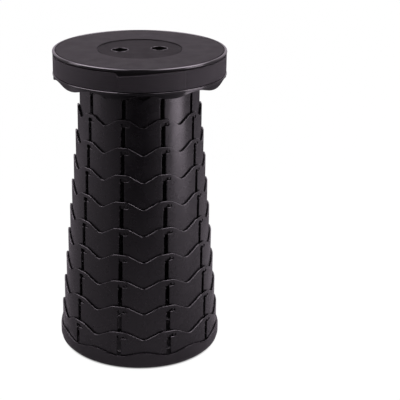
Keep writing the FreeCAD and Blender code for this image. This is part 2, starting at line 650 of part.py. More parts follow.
for item in doc.Objects:
    if "Invalid" in item.State or "Error" in item.State:
        raise RuntimeError("%s failed: %s" % (item.Name, item.State))
for body in bodies:
    if body.Shape.isNull() or not body.Shape.isValid():
        raise RuntimeError("%s has no valid shape" % body.Label)

os.makedirs("parts", exist_ok=True)
for body in bodies:
    body.Shape.exportStep("parts/%s.step" % body.Label)
    print("%s: %d solids, %.0f mm3" % (body.Label, len(body.Shape.Solids), body.Shape.Volume))
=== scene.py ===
"""Looks of the telescopic stool: moulded rings, seat, base and webbing, with camera, light and floor.

Metres, +Z up, -Y is the front. An azimuth is an angle from the front towards +X.
"""
import math

import bmesh
import bpy
from mathutils import Matrix, Vector, noise


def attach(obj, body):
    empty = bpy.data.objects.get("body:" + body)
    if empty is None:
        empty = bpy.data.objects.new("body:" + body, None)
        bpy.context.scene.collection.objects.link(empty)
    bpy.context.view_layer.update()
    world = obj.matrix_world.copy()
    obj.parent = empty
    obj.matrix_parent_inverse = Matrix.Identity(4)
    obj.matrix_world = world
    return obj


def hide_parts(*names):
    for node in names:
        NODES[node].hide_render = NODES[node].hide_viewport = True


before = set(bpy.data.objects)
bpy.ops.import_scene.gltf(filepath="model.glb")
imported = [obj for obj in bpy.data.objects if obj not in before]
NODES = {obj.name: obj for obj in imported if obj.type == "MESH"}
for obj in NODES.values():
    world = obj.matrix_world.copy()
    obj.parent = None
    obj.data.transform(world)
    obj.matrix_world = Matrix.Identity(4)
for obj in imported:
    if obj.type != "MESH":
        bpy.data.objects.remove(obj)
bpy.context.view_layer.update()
MM = 0.001
UP = Vector((0, 0, 1))

# Rings, slots and pins, as the solids have them
PETALS = 10
PETAL = 2 * math.pi / PETALS
RINGS = 10
SLOT_AZIMUTH = math.radians(21.2)
RING_WALL = 2.4 * MM
RING_RISE = 39 * MM
RING_HEIGHT = 50.15 * MM
VALLEY_DEPTH = 11 * MM
VALLEY_ROUND = 8.0 * MM
CREST_FLAT = 4.5 * MM
FLANK_SHARE = 1.6
SLOT_LAND = 5 * MM
SLOT_WIDTH = 6.2 * MM
SLOT_FOOT = 6.5 * MM
NOTCH_TURN = math.radians(4.4)
PIN_RADIUS = 2.1 * MM
PIN_PLAY = 0.25 * MM
PIN_FOOT = 1.7 * MM
PIN_RECESS = 1 * MM
TRACK_SKIN = 0.8 * MM
RING_STEP = 3.44 * MM
TOP_RING_RADIUS = 86.9 * MM
CREST_TOP = 408.75 * MM
# Number 0 stands for the collar, which nests like a ring
RING_RADII = {number: TOP_RING_RADIUS + RING_STEP * (number - 1) for number in range(0, RINGS + 1)}

# The seat, the base and the strap, as the solids have them
SEAT_TOP = 451.2 * MM
SEAT_UNDER = 448.6 * MM
SEAT_RADIUS = 125 * MM
SIDE_RADIUS = 123 * MM
SIDE_WALL = 2.2 * MM
SIDE_FOOT = 419 * MM
BEAD = 4 * MM
DISH_RADIUS = 60 * MM
DISH_DEPTH = 1.2 * MM
HOLE_RADIUS = 11.3 * MM
HOLE_SPREAD = 28.5 * MM
HOLE_AZIMUTH = math.radians(8.6)
SKIRT_RADIUS = 124 * MM
SKIRT_FOOT = 408.6 * MM
WAVE_DEPTH = 6 * MM
WAVE_ROUND = 54 * MM
WAVE_ANGLE = math.radians(14)
STRAP_INNER = 123.1 * MM
STRAP_THICKNESS = 1.4 * MM
STRAP_FOOT = 419.8 * MM
STRAP_WIDTH = 26 * MM
LOOP_HALF = 37 * MM
LOOP_REACH = 46 * MM
LOOP_CORNER = 18 * MM
LOOP_WIDTH = 20 * MM

# The photograph's camera
CAMERA_DISTANCE = 1.5904
CAMERA_HEIGHT = 0.8234
CAMERA_PITCH = math.radians(18.97)
LENS = 102.36
SENSOR = 36.0
PHOTO_SIDE = 400.0
AXIS_PIXEL = 139.6
HORIZON_PIXEL = 163.787
LIGHT_TINT = (1.0, 0.88, 1.0)

# Steps of round shapes, how close points are drawn together, and what a petal's plate has to spare
SEAT_STEPS = 192
COLLAR_STEPS = 160
RIB_STEPS = 96
HOLE_STEPS = 48
FINE_GAP = 1e-7
PIN_GAP = 2e-6
PETAL_GAP = 1e-5
PLATE_MARGIN = 2 * MM


def on_circle(azimuth, radius, height):
    """The point at this azimuth, radius and height."""
    return Vector((radius * math.sin(azimuth), -radius * math.cos(azimuth), height))


def make_camera():
    """The photograph's viewpoint, with the frame shifted as the photograph is cropped."""
    data = bpy.data.cameras.new("Camera")
    data.sensor_width = SENSOR
    data.lens = LENS
    data.shift_x = (PHOTO_SIDE / 2 - AXIS_PIXEL) / PHOTO_SIDE
    data.shift_y = -(PHOTO_SIDE / 2 - HORIZON_PIXEL) / PHOTO_SIDE
    camera = bpy.data.objects.new("Camera", data)
    bpy.context.scene.collection.objects.link(camera)
    camera.location = (0, -CAMERA_DISTANCE, CAMERA_HEIGHT)
    camera.rotation_euler = (math.pi / 2 - CAMERA_PITCH, 0, 0)
    bpy.context.scene.camera = camera


class Nodes:
    """A small helper that adds shader nodes and links them."""

    def __init__(self, tree):
        self.tree = tree

    def add(self, kind, inputs=None, **settings):
        """A node with its settings; an input is a number, a colour or another node's output."""
        node = self.tree.nodes.new(kind)
        for name, setting in settings.items():
            setattr(node, name, setting)
        for name, given in (inputs or {}).items():
            socket = node.inputs[name]
            if isinstance(given, bpy.types.NodeSocket):
                self.tree.links.new(given, socket)
            else:
                socket.default_value = given
        return node

    def maths(self, operation, *values):
        """The result of one math node."""
        return self.add("ShaderNodeMath", dict(enumerate(values)), operation=operation).outputs[0]

    def ramp(self, given, low, high, low_out, high_out):
        """A number mapped from one range to another, held at the ends."""
        node = self.add("ShaderNodeMapRange", {"Value": given, "From Min": low, "From Max": high,
                                               "To Min": low_out, "To Max": high_out})
        return node.outputs["Result"]

    def noise(self, place, scale, detail):
        """The height of one noise texture."""
        return self.add("ShaderNodeTexNoise", {"Vector": place, "Scale": scale, "Detail": detail}).outputs[0]

    def tint(self, factor, dark, light):
        """A colour between two, by a factor."""
        node = self.add("ShaderNodeMix", {"Factor": factor}, data_type="RGBA")
        node.inputs[6].default_value = (*dark, 1)
        node.inputs[7].default_value = (*light, 1)
        return node.outputs[2]


def new_material(name):
    """An empty material with its node helper and its principled shader."""
    material = bpy.data.materials.new(name)
    material.use_nodes = True
    material.node_tree.nodes.clear()
    nodes = Nodes(material.node_tree)
    shader = nodes.add("ShaderNodeBsdfPrincipled")
    nodes.add("ShaderNodeOutputMaterial", {"Surface": shader.outputs[0]})
    return material, nodes, shader


def shades(colour, dark, light):
    """A darker and a lighter shade of a colour."""
    return [channel * dark for channel in colour], [channel * light for channel in colour]


def plastic(name, colour, roughness, spread, grain, grain_size, specular=0.5):
    """Moulded black plastic: colour and gloss that vary a little, flow marks and a fine grain."""
    material, nodes, shader = new_material(name)
    place = nodes.add("ShaderNodeNewGeometry").outputs["Position"]
    dark, light = shades(colour, 0.8, 1.25)
    nodes.tree.links.new(nodes.tint(nodes.noise(place, 14.0, 3.0), dark, light), shader.inputs["Base Color"])
    smear = nodes.noise(place, 55.0, 4.0)
    gloss = nodes.ramp(smear, 0.3, 0.7, roughness - spread, roughness + spread)
    nodes.tree.links.new(gloss, shader.inputs["Roughness"])
    fine = nodes.noise(place, grain_size, 2.0)
    bump = nodes.add("ShaderNodeBump", {"Height": fine, "Strength": grain, "Distance": 0.0002})
    nodes.tree.links.new(bump.outputs[0], shader.inputs["Normal"])
    shader.inputs["Specular IOR Level"].default_value = specular
    return material


def dull_recess(material):
    """Less gloss inside the recess in the middle of the seat."""
    inside = 0.018
    outside = 0.045
    nodes = Nodes(material.node_tree)
    place = nodes.add("ShaderNodeNewGeometry").outputs["Position"]
    split = nodes.add("ShaderNodeSeparateXYZ", {"Vector": place})
    squares = [nodes.maths("MULTIPLY", split.outputs[axis], split.outputs[axis]) for axis in (0, 1)]
    span = nodes.maths("SQRT", nodes.maths("ADD", *squares))
    gloss = nodes.ramp(span, DISH_RADIUS - MM, DISH_RADIUS + MM, inside, outside)
    shader = next(node for node in material.node_tree.nodes if node.type == "BSDF_PRINCIPLED")
    nodes.tree.links.new(gloss, shader.inputs["Specular IOR Level"])


def webbing_material(name, colour):
    """Woven webbing, laid out along its UV map in metres: slanting yarns, rib by rib, with a sheen, painted
    shade between the yarns and painted highlight on their crowns.
    """
    rib = 1.4 * MM
    yarn = 1.1 * MM
    material, nodes, shader = new_material(name)
    layout = nodes.add("ShaderNodeTexCoord").outputs["UV"]
    split = nodes.add("ShaderNodeSeparateXYZ", {"Vector": layout})
    row = nodes.maths("DIVIDE", split.outputs[1], rib)
    level = nodes.maths("FLOOR", row)
    across = nodes.maths("SUBTRACT", nodes.maths("FRACT", row), 0.5)
    lean = nodes.maths("SUBTRACT", nodes.maths("MULTIPLY", nodes.maths("MODULO", level, 2.0), 2.0), 1.0)
    slant = nodes.maths("MULTIPLY", nodes.maths("MULTIPLY", across, lean), 0.7)
    along = nodes.maths("ADD", nodes.maths("DIVIDE", split.outputs[0], yarn), slant)
    twist = nodes.maths("ABSOLUTE", nodes.maths("SINE", nodes.maths("MULTIPLY", along, math.pi)))
    crown = nodes.maths("SUBTRACT", 1.0, nodes.maths("MULTIPLY", nodes.maths("POWER", across, 2.0), 4.0))
    weave = nodes.maths("MULTIPLY", crown, nodes.maths("ADD", nodes.maths("MULTIPLY", twist, 0.6), 0.4))
    place = nodes.add("ShaderNodeNewGeometry").outputs["Position"]
    fuzz = nodes.noise(place, 2500.0, 3.0)
    streaks = nodes.add("ShaderNodeVectorMath", {0: layout, 1: (0.03, 1.0, 1.0)}, operation="MULTIPLY")
    wear = nodes.noise(streaks.outputs[0], 700.0, 3.0)
    height = nodes.maths("ADD", weave, nodes.maths("MULTIPLY", fuzz, 0.35))
    # Painted shade and highlight: the colour follows the weave, darker between the yarns and lighter on their
    # crowns, mixed with lengthwise streaks
    mixed = nodes.ramp(nodes.maths("ADD", weave, wear), 0.3, 1.7, 0.0, 1.0)
    dark, light = shades(colour, 0.45, 1.6)
    nodes.tree.links.new(nodes.tint(mixed, dark, light), shader.inputs["Base Color"])
    bump = nodes.add("ShaderNodeBump", {"Height": height, "Strength": 0.7, "Distance": 0.0003})
    nodes.tree.links.new(bump.outputs[0], shader.inputs["Normal"])
    shader.inputs["Roughness"].default_value = 0.62
    shader.inputs["Sheen Weight"].default_value = 0.05
    shader.inputs["Sheen Roughness"].default_value = 0.4
    shader.inputs["Specular IOR Level"].default_value = 0.3
    return material


MATERIALS = {
    "shell": plastic("BasePlastic", (0.011, 0.010, 0.011), 0.34, 0.05, 0.10, 1800.0),
    "ring": plastic("RingPlastic", (0.009, 0.0085, 0.0095), 0.27, 0.05, 0.06, 1800.0),
    "seat": plastic("SeatPlastic", (0.017, 0.0165, 0.0165), 0.52, 0.04, 0.22, 2600.0, 0.12),
    "gloss": plastic("GlossPlastic", (0.008, 0.008, 0.0085), 0.14, 0.02, 0.03, 1400.0),
    "webbing": webbing_material("Webbing", (0.020, 0.0185, 0.020)),
}
dull_recess(MATERIALS["seat"])


def make_world():
    """A white surround for the camera, and a plain one for light, darker on the camera's side for gloss."""
    plain = 0.20
    front = 0.02
    behind = 0.9
    wing_glow = 11.0
    world = bpy.data.worlds.new("World")
    bpy.context.scene.world = world
    world.use_nodes = True
    world.node_tree.nodes.clear()
    nodes = Nodes(world.node_tree)
    direction = nodes.add("ShaderNodeTexCoord").outputs["Generated"]
    split = nodes.add("ShaderNodeSeparateXYZ", {"Vector": direction})
    side, back, up = split.outputs
    path = nodes.add("ShaderNodeLightPath")
    extra = nodes.maths("SUBTRACT", nodes.ramp(back, -0.6, 0.8, front, behind), plain)
    wings = nodes.ramp(nodes.maths("ABSOLUTE", side), 0.15, 0.4, 0.0, wing_glow)
    overhead = nodes.maths("MULTIPLY", nodes.ramp(up, 0.6, 0.75, 0.0, 1.0), wings)
    gloss = nodes.maths("MAXIMUM", extra, overhead)
    seen = nodes.maths("ADD", nodes.maths("MULTIPLY", path.outputs["Is Glossy Ray"], gloss), plain)
    level = nodes.maths("MAXIMUM", seen, path.outputs["Is Camera Ray"])
    colour = nodes.tint(path.outputs["Is Camera Ray"], LIGHT_TINT, (1, 1, 1))
    background = nodes.add("ShaderNodeBackground", {"Color": colour, "Strength": level})
    nodes.add("ShaderNodeOutputWorld", {"Surface": background.outputs[0]})


def make_floor():
    """A floor that glows white for the camera and is clear from below.

    Other rays see painted light and shade on it, for the stool's gloss to reflect: pale near the stool and to
    its sides, and dark further in front and behind.
    """
    half = 6.0
    level = -0.2 * MM
    glow_share = 0.97
    glow = 1.03
    glow_start, glow_full = 0.112, 0.118
    side_start, side_full = 0.2, 0.8
    dark = 0.02
    mesh = bpy.data.meshes.new("Floor")
    corners = [(-half, -half, level), (half, -half, level), (half, half, level), (-half, half, level)]
    mesh.from_pydata(corners, [], [(0, 1, 2, 3)])
    floor = bpy.data.objects.new("Floor", mesh)
    bpy.context.scene.collection.objects.link(floor)
    material = bpy.data.materials.new("Floor")
    material.use_nodes = True
    material.node_tree.nodes.clear()
    nodes = Nodes(material.node_tree)
    place = nodes.add("ShaderNodeNewGeometry").outputs["Position"]
    span = nodes.add("ShaderNodeVectorMath", {0: place}, operation="LENGTH").outputs["Value"]
    across = nodes.maths("DIVIDE", nodes.add("ShaderNodeSeparateXYZ", {"Vector": place}).outputs[0], span)
    # Painted light and shade: the floor's grey is pale to the right, to the left and near the stool, and dark
    # elsewhere, for the gloss to reflect
    right = nodes.ramp(across, side_start, side_full, dark, 0.9)
    left = nodes.ramp(nodes.maths("MULTIPLY", across, -1.0), side_start, side_full, dark, 0.8)
    near = nodes.ramp(span, 0.2, 0.9, 0.9, 0.03)
    painted_light_and_shade = nodes.maths("MAXIMUM", nodes.maths("MAXIMUM", right, left), near)
    grey = nodes.add("ShaderNodeCombineColor", {"Red": painted_light_and_shade, "Green": painted_light_and_shade, "Blue": painted_light_and_shade}).outputs[0]
    matt = nodes.add("ShaderNodeBsdfDiffuse", {"Color": grey})
    lit = nodes.ramp(span, glow_start, glow_full, 0.0, glow)
    shine = nodes.add("ShaderNodeEmission", {"Color": (1, 1, 1, 1), "Strength": lit})
    share = nodes.maths("MULTIPLY", nodes.add("ShaderNodeLightPath").outputs["Is Camera Ray"], glow_share)
    mixed = nodes.add("ShaderNodeMixShader", {0: share, 1: matt.outputs[0], 2: shine.outputs[0]})
    below = nodes.add("ShaderNodeNewGeometry").outputs["Backfacing"]
    clear = nodes.add("ShaderNodeBsdfTransparent")
    shown = nodes.add("ShaderNodeMixShader", {0: below, 1: mixed.outputs[0], 2: clear.outputs[0]})
    nodes.add("ShaderNodeOutputMaterial", {"Surface": shown.outputs[0]})
    mesh.materials.append(material)


def make_lamp(name, place, aim, width, height, power):
    """A softbox that points at the stool."""
    data = bpy.data.lights.new(name, "AREA")
    data.shape = "RECTANGLE"
    data.size = width
    data.size_y = height
    data.energy = power
    data.color = LIGHT_TINT
    lamp = bpy.data.objects.new(name, data)
    bpy.context.scene.collection.objects.link(lamp)
    lamp.location = place
    lamp.rotation_euler = (Vector(aim) - Vector(place)).to_track_quat("-Z", "Y").to_euler()


def rounded(corners, steps=4):
    """A closed outline from (across, up, radius) corners, with each corner turned into an arc."""
    outline = []
    for index, (across, up, radius) in enumerate(corners):
        here = Vector((across, up))
        before = Vector(corners[index - 1][:2]) - here
        after = Vector(corners[(index + 1) % len(corners)][:2]) - here
        if radius <= 0:
            outline.append((across, up))
            continue
        half = before.angle(after) / 2
        reach = min(radius / math.tan(half), before.length * 0.49, after.length * 0.49)
        true_radius = reach * math.tan(half)
        middle = here + (before.normalized() + after.normalized()).normalized() * true_radius / math.sin(half)
        start = here + before.normalized() * reach - middle
        end = here + after.normalized() * reach - middle
        turn = start.angle_signed(end)
        for step in range(steps + 1):
            arm = start.copy()
            arm.rotate(Matrix.Rotation(-turn * step / steps, 2))
            outline.append(tuple(middle + arm))
    return outline


def to_mesh(builder, name, gap=FINE_GAP):
    """Weld a mesh that is being built and turn it into mesh data, all smooth."""
    bmesh.ops.remove_doubles(builder, verts=builder.verts, dist=gap)
    bmesh.ops.dissolve_degenerate(builder, edges=builder.edges, dist=gap)
    bmesh.ops.recalc_face_normals(builder, faces=builder.faces)
    mesh = bpy.data.meshes.new(name)
    builder.to_mesh(mesh)
    builder.free()
    mesh.shade_smooth()
    return mesh


def add_piece(name, mesh, body, key, node=None):
    """Put a mesh into the scene with its material, on its body, in place of its node."""
    piece = bpy.data.objects.new(name, mesh)
    bpy.context.scene.collection.objects.link(piece)
    mesh.materials.append(MATERIALS[key])
    weighted = piece.modifiers.new("WeightedNormal", "WEIGHTED_NORMAL")
    weighted.keep_sharp = True
    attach(piece, body)
    if node:
        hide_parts(node)
    return piece


def crisp(mesh):
    """Mark the edges that turn by more than a small angle as sharp."""
    angle = math.radians(38)
    builder = bmesh.new()
    builder.from_mesh(mesh)
    for edge in builder.edges:
        edge.smooth = len(edge.link_faces) == 2 and edge.calc_face_angle() < angle
    builder.to_mesh(mesh)
    builder.free()
    return mesh


def flat_sheet(loops, thickness, rounding):
    """A flat plate with rounded edges, from outlines in its plane; those inside another are holes."""
    curve = bpy.data.curves.new("Sheet", "CURVE")
    curve.dimensions = "2D"
    curve.fill_mode = "BOTH"
    curve.extrude = thickness / 2 - rounding
    curve.bevel_depth = rounding
    curve.bevel_resolution = 2
    curve.offset = -rounding
    for loop in loops:
        spline = curve.splines.new("POLY")
        spline.points.add(len(loop) - 1)
        for point, (across, up) in zip(spline.points, loop):
            point.co = (across, up, 0, 1)
        spline.use_cyclic_u = True
    holder = bpy.data.objects.new("Sheet", curve)
    mesh = bpy.data.meshes.new_from_object(holder)
    builder = bmesh.new()
    builder.from_mesh(mesh)
    bpy.data.objects.remove(holder)
    bpy.data.curves.remove(curve)
    bpy.data.meshes.remove(mesh)
    bmesh.ops.remove_doubles(builder, verts=builder.verts, dist=FINE_GAP)
    return builder


def cut(builder, point, normal, clear_outer=False, clear_inner=False):
    """Cut all faces along a plane, and drop what lies on one side."""
    everything = list(builder.verts) + list(builder.edges) + list(builder.faces)
    bmesh.ops.bisect_plane(builder, geom=everything, plane_co=point, plane_no=normal, dist=FINE_GAP,
                           clear_outer=clear_outer, clear_inner=clear_inner)


def join_ends(builder, half):
    """Drop the vertices that split a petal's straight end edges, so that one petal's end fits the next."""
    straight = math.pi - 1e-3
    extra = []
    for vertex in builder.verts:
        if abs(abs(vertex.co.x) - half) > FINE_GAP:
            continue
        arms = [edge.other_vert(vertex).co - vertex.co for edge in vertex.link_edges if edge.is_boundary]
        if len(arms) == 2 and arms[0].angle(arms[1]) > straight:
            extra.append(vertex)
    bmesh.ops.dissolve_verts(builder, verts=extra)


def wrap_petals(builder, radius, wall):
    """Bend one petal's plate round the axis and repeat it, so that a ring of petals closes.

    The plate's x runs round the ring from the middle of a petal, y runs up and z is the wall's depth.
    """
    half = radius * PETAL / 2
    strips = 12
    cut(builder, (-half, 0, 0), (1, 0, 0), clear_inner=True)
    cut(builder, (half, 0, 0), (1, 0, 0), clear_outer=True)
    join_ends(builder, half)
    for strip in range(1, strips):
        cut(builder, (half * (2 * strip / strips - 1), 0, 0), (1, 0, 0))
    for vertex in builder.verts:
        across, up, depth = vertex.co
        vertex.co = on_circle(SLOT_AZIMUTH + across / radius, radius - wall / 2 + depth, up)
    petal = list(builder.verts) + list(builder.edges) + list(builder.faces)
    for turn in range(1, PETALS):
        copy = bmesh.ops.duplicate(builder, geom=petal)
        moved = [item for item in copy["geom"] if isinstance(item, bmesh.types.BMVert)]
        bmesh.ops.rotate(builder, verts=moved, cent=(0, 0, 0), matrix=Matrix.Rotation(turn * PETAL, 3, "Z"))
    return builder


def wave(radius, depth, round_radius, flat, angle):
    """Half of a wave, from the middle of the valley to the crest, as (across, drop) pairs."""
    steps = 8
    span = radius * math.sin(PETAL / 2) - flat
    broad = (span * math.tan(angle) - depth) / (1 / math.cos(angle) - 1) - round_radius
    points = []
    for step in range(steps + 1):
        slope = angle * step / steps
        points.append((round_radius * math.sin(slope), depth - round_radius * (1 - math.cos(slope))))
    for step in range(steps + 1):
        slope = angle * (1 - step / steps)
        points.append((span - broad * math.sin(slope), broad * (1 - math.cos(slope))))
    return [(radius * math.asin(across / radius), drop) for across, drop in points]


def petal_outline(radius, half_wave):
    """One petal's plate, a little wider than the petal: a wavy upper edge and a straight foot."""
    half = radius * PETAL / 2
    end = half + PLATE_MARGIN
    left = [(across - half, -drop) for across, drop in half_wave]
    edge = left + [(-across, up) for across, up in reversed(left)]
    valley = edge[0][1]
    return [(-end, -RING_HEIGHT), (-end, valley)] + edge + [(end, valley), (end, -RING_HEIGHT)]


def slot_outline(radius):
    """A slot with its notch to the right, and the small nib that snaps over the pin."""
    half = SLOT_WIDTH / 2
    top = -SLOT_LAND
    foot = SLOT_FOOT - RING_HEIGHT
    notch_foot = top - 2 * (PIN_RADIUS + PIN_PLAY)
    end = radius * NOTCH_TURN + PIN_RADIUS + PIN_PLAY
    nib = 1.2 * MM
    nib_top = -11.4 * MM
    nib_foot = -14.0 * MM
    return rounded([
        (-half, foot, 1.2 * MM),
        (half, foot, 1.2 * MM),
        (half, notch_foot, 0.8 * MM),
        (end, notch_foot, PIN_RADIUS),
        (end, top, PIN_RADIUS),
        (-half, top, 1.6 * MM),
        (-half, nib_top, 0.3 * MM),
        (nib - half, nib_top, 0.5 * MM),
        (nib - half, nib_foot, 0.5 * MM),
        (-half, nib_foot, 0.3 * MM),
    ])


def subtract(mesh, cutter):
    """A mesh less the shapes in a cutter that is being built."""
    bmesh.ops.recalc_face_normals(cutter, faces=cutter.faces)
    cutter_mesh = bpy.data.meshes.new("Cutter")
    cutter.to_mesh(cutter_mesh)
    cutter.free()
    tool = bpy.data.objects.new("Cutter", cutter_mesh)
    work = bpy.data.objects.new("Work", mesh)
    for item in (tool, work):
        bpy.context.scene.collection.objects.link(item)
    boolean = work.modifiers.new("Boolean", "BOOLEAN")
    boolean.object = tool
    boolean.solver = "EXACT"
    result = bpy.data.meshes.new_from_object(work.evaluated_get(bpy.context.evaluated_depsgraph_get()))
    for item in (tool, work):
        bpy.data.objects.remove(item)
    return result


def cut_tracks(mesh, radius, foot):
    """Cut the pins' tracks into the inside of a ring, from each notch to the ring's foot."""
    cutter = bmesh.new()
    reach_share = 1.7
    below_foot = 1.3 * MM
    inner = radius - RING_WALL * reach_share
    outer = radius - TRACK_SKIN
    half = PIN_RADIUS + PIN_PLAY
    top = foot + RING_HEIGHT - SLOT_LAND - PIN_PLAY - PIN_RADIUS
    for petal in range(PETALS):
        azimuth = SLOT_AZIMUTH + NOTCH_TURN + petal * PETAL
        out = on_circle(azimuth, 1, 0)
        side = on_circle(azimuth + math.pi / 2, 1, 0)
        corners = []
        for reach in (inner, outer):
            for across in (-half, half):
                for height in (foot - below_foot, top):
                    corners.append(cutter.verts.new(out * reach + side * across + UP * height))
        for face in ((0, 1, 3, 2), (4, 6, 7, 5), (0, 4, 5, 1), (2, 3, 7, 6), (0, 2, 6, 4), (1, 5, 7, 3)):
            cutter.faces.new([corners[index] for index in face])
    return subtract(mesh, cutter)


def add_pin(builder, azimuth, start, end, height):
    """A round pin with a domed end, pointing outwards."""
    sides = 20
    dome = 0.9 * MM
    dome_steps = 4
    profile = [(start, PIN_RADIUS), (end - dome, PIN_RADIUS)]
    for step in range(1, dome_steps + 1):
        slope = math.pi / 2 * step / dome_steps
        profile.append((end - dome + dome * math.sin(slope), PIN_RADIUS * math.cos(slope)))
    out = on_circle(azimuth, 1, 0)
    side = on_circle(azimuth + math.pi / 2, 1, 0)
    rows = []
    for reach, radius in profile:
        row = []
        for step in range(sides):
            turn = 2 * math.pi * step / sides
            offset = side * radius * math.cos(turn) + UP * radius * math.sin(turn)
            row.append(builder.verts.new(out * reach + UP * height + offset))
        rows.append(row)
    for low, high in zip(rows, rows[1:]):
        for step in range(sides):
            builder.faces.new((low[step], low[(step + 1) % sides], high[(step + 1) % sides], high[step]))
    builder.faces.new(rows[0])


def add_pins(builder, radius, foot):
    """A ring's ten pins, which lie in the notches of the ring outside it."""
    end = radius + RING_STEP - PIN_RECESS
    for petal in range(PETALS):
        azimuth = SLOT_AZIMUTH + NOTCH_TURN + petal * PETAL
        add_pin(builder, azimuth, radius - TRACK_SKIN / 2, end, foot + PIN_FOOT + PIN_RADIUS)


def make_ring(number):
    """One nested ring, counted from the top, with its wavy edge, slots, tracks and pins."""
    node = "ring_%d" % number
    radius = RING_RADII[number]
    foot = CREST_TOP - RING_RISE * (number - 1) - RING_HEIGHT
    growth = radius / RING_RADII[1]
    flank = math.atan(FLANK_SHARE * VALLEY_DEPTH / (radius * PETAL / 2))
    half_wave = wave(radius, VALLEY_DEPTH, VALLEY_ROUND * growth, CREST_FLAT * growth, flank)
    rounding = 0.65 * MM
    sheet = flat_sheet([petal_outline(radius, half_wave), slot_outline(radius)], RING_WALL, rounding)
    ring = wrap_petals(sheet, radius, RING_WALL)
    bmesh.ops.translate(ring, verts=ring.verts, vec=(0, 0, foot + RING_HEIGHT))
    mesh = cut_tracks(to_mesh(ring, "Ring%d" % number, PETAL_GAP), radius, foot)
    builder = bmesh.new()
    builder.from_mesh(mesh)
    if number < RINGS:
        add_pins(builder, radius, foot)
    mesh = to_mesh(builder, "Ring%d" % number, PIN_GAP)
    body = node if number < RINGS else "base"
    add_piece("NestedRing%d" % number, mesh, body, "ring", node)


def lathe(builder, profile, steps, centre=Vector()):
    """A closed profile of (radius, height) points, turned about an upright axis through a centre."""
    rows = []
    for step in range(steps):
        azimuth = 2 * math.pi * step / steps
        rows.append([builder.verts.new(centre + on_circle(azimuth, out, height)) for out, height in profile])
    for index, row in enumerate(rows):
        after = rows[(index + 1) % steps]
        for low in range(len(profile)):
            high = (low + 1) % len(profile)
            builder.faces.new((row[low], after[low], after[high], row[high]))


def close_axis(builder, levels):
    """Draw the vertices nearest to the axis together at each level, so that a turned solid has no bore."""
    near_axis = MM
    near_level = 0.1 * MM
    for level in levels:
        middle = [vertex for vertex in builder.verts
                  if vertex.co.to_2d().length < near_axis and abs(vertex.co.z - level) < near_level]
        bmesh.ops.pointmerge(builder, verts=middle, merge_co=(0, 0, level))


def disc_profile(radius, low, high):
    """A closed profile of a solid disc, with a hair's breadth left out along its axis."""
    core = 0.001 * MM
    return [(core, low), (radius, low), (radius, high), (core, high)]


def bead_profile(centre, height, thickness):
    """A closed round profile for a bead."""
    sides = 12
    turns = [2 * math.pi * side / sides for side in range(sides)]
    return [(centre + thickness * math.cos(turn), height + thickness * math.sin(turn)) for turn in turns]


def box_solid(builder, centre, direction, length, width, low, high):
    """An upright slab, centred in plan, that runs along a direction."""
    side = Vector((-direction.y, direction.x, 0)) * width / 2
    reach = direction * length / 2
    corners = []
    for sign_along, sign_side in ((-1, -1), (1, -1), (1, 1), (-1, 1)):
        place = centre + reach * sign_along + side * sign_side
        corners.append([builder.verts.new((place.x, place.y, height)) for height in (low, high)])
    for index in range(4):
        first, second = corners[index], corners[(index + 1) % 4]
        builder.faces.new((first[0], second[0], second[1], first[1]))
    builder.faces.new([corner[1] for corner in corners])
    builder.faces.new([corner[0] for corner in reversed(corners)])


def soften(obj, width):
    """Round the sharp edges of a solid's mesh, whose faces come apart at every edge."""
    weld = obj.modifiers.new("Weld", "WELD")
    weld.merge_threshold = 0.01 * MM
    bevel = obj.modifiers.new("Bevel", "BEVEL")
    bevel.width = width
    bevel.segments = 2
    bevel.limit_method = "ANGLE"
    bevel.angle_limit = math.radians(40)
    bevel.harden_normals = False
    weighted = obj.modifiers.new("WeightedNormal", "WEIGHTED_NORMAL")
    weighted.keep_sharp = True


def paint(obj, key):
    """Give an object one of the materials."""
    if not obj.data.materials:
        obj.data.materials.append(MATERIALS[key])
    for slot in obj.material_slots:
        slot.material = MATERIALS[key]


def hole_centres():
    """The middles of the two finger holes, in plan."""
    along = Vector((math.cos(HOLE_AZIMUTH), math.sin(HOLE_AZIMUTH), 0))
    return [along * HOLE_SPREAD * side for side in (-1, 1)]


def ribbon(stations, width, thickness, closed=False):
    """Webbing with rounded edges along stations of (place, outward, foot lift, top drop, metres along)."""
    rounding = 0.45 * MM
    builder = bmesh.new()
    layout = builder.loops.layers.uv.new("UVMap")
    rows = []
    for place, outward, lift, drop, along in stations:
        head = lift + (width - lift - drop)
        section = rounded([
            (-thickness / 2, lift, rounding),
            (thickness / 2, lift, rounding),
            (thickness / 2, head, rounding),
            (-thickness / 2, head, rounding),
        ], 3)
        rows.append([(builder.verts.new(place + outward * out + UP * up), along, up) for out, up in section])
    pairs = list(zip(rows, rows[1:]))
    if closed:
        length = stations[-1][4] + (stations[-1][0] - stations[0][0]).length
        pairs.append((rows[-1], [(vertex, length, up) for vertex, along, up in rows[0]]))
    sides = len(rows[0])
    for row, after in pairs:
        for low in range(sides):
            high = (low + 1) % sides
            corners = (row[low], after[low], after[high], row[high])
            face = builder.faces.new([corner[0] for corner in corners])
            for loop, corner in zip(face.loops, corners):
                loop[layout].uv = (corner[1], corner[2])
    if not closed:
        for row in (rows[0], rows[-1]):
            face = builder.faces.new([corner[0] for corner in row])
            for loop, corner in zip(face.loops, row):
                loop[layout].uv = (corner[1], corner[2])
    return builder


def strap_droop(azimuth):
    """How far the strap's upper edge hangs down at an azimuth: most just right of the tail's end."""
    wobble_size = 0.25 * MM
    wobble_span = 3
    droop = 4.6 * MM
    rise_start, rise_span = -15.5, 2
    fall_end, fall_span = 15, 28
    degrees = math.degrees(azimuth)
    if degrees > 180:
        degrees -= 360
    place = Vector((math.sin(azimuth) * wobble_span, math.cos(azimuth) * wobble_span, 0))
    wobble = wobble_size * (1 + noise.noise(place))
    rise = min(max((degrees - rise_start) / rise_span, 0), 1)
    fall = min(max((fall_end - degrees) / fall_span, 0), 1)
    return wobble + droop * rise * fall


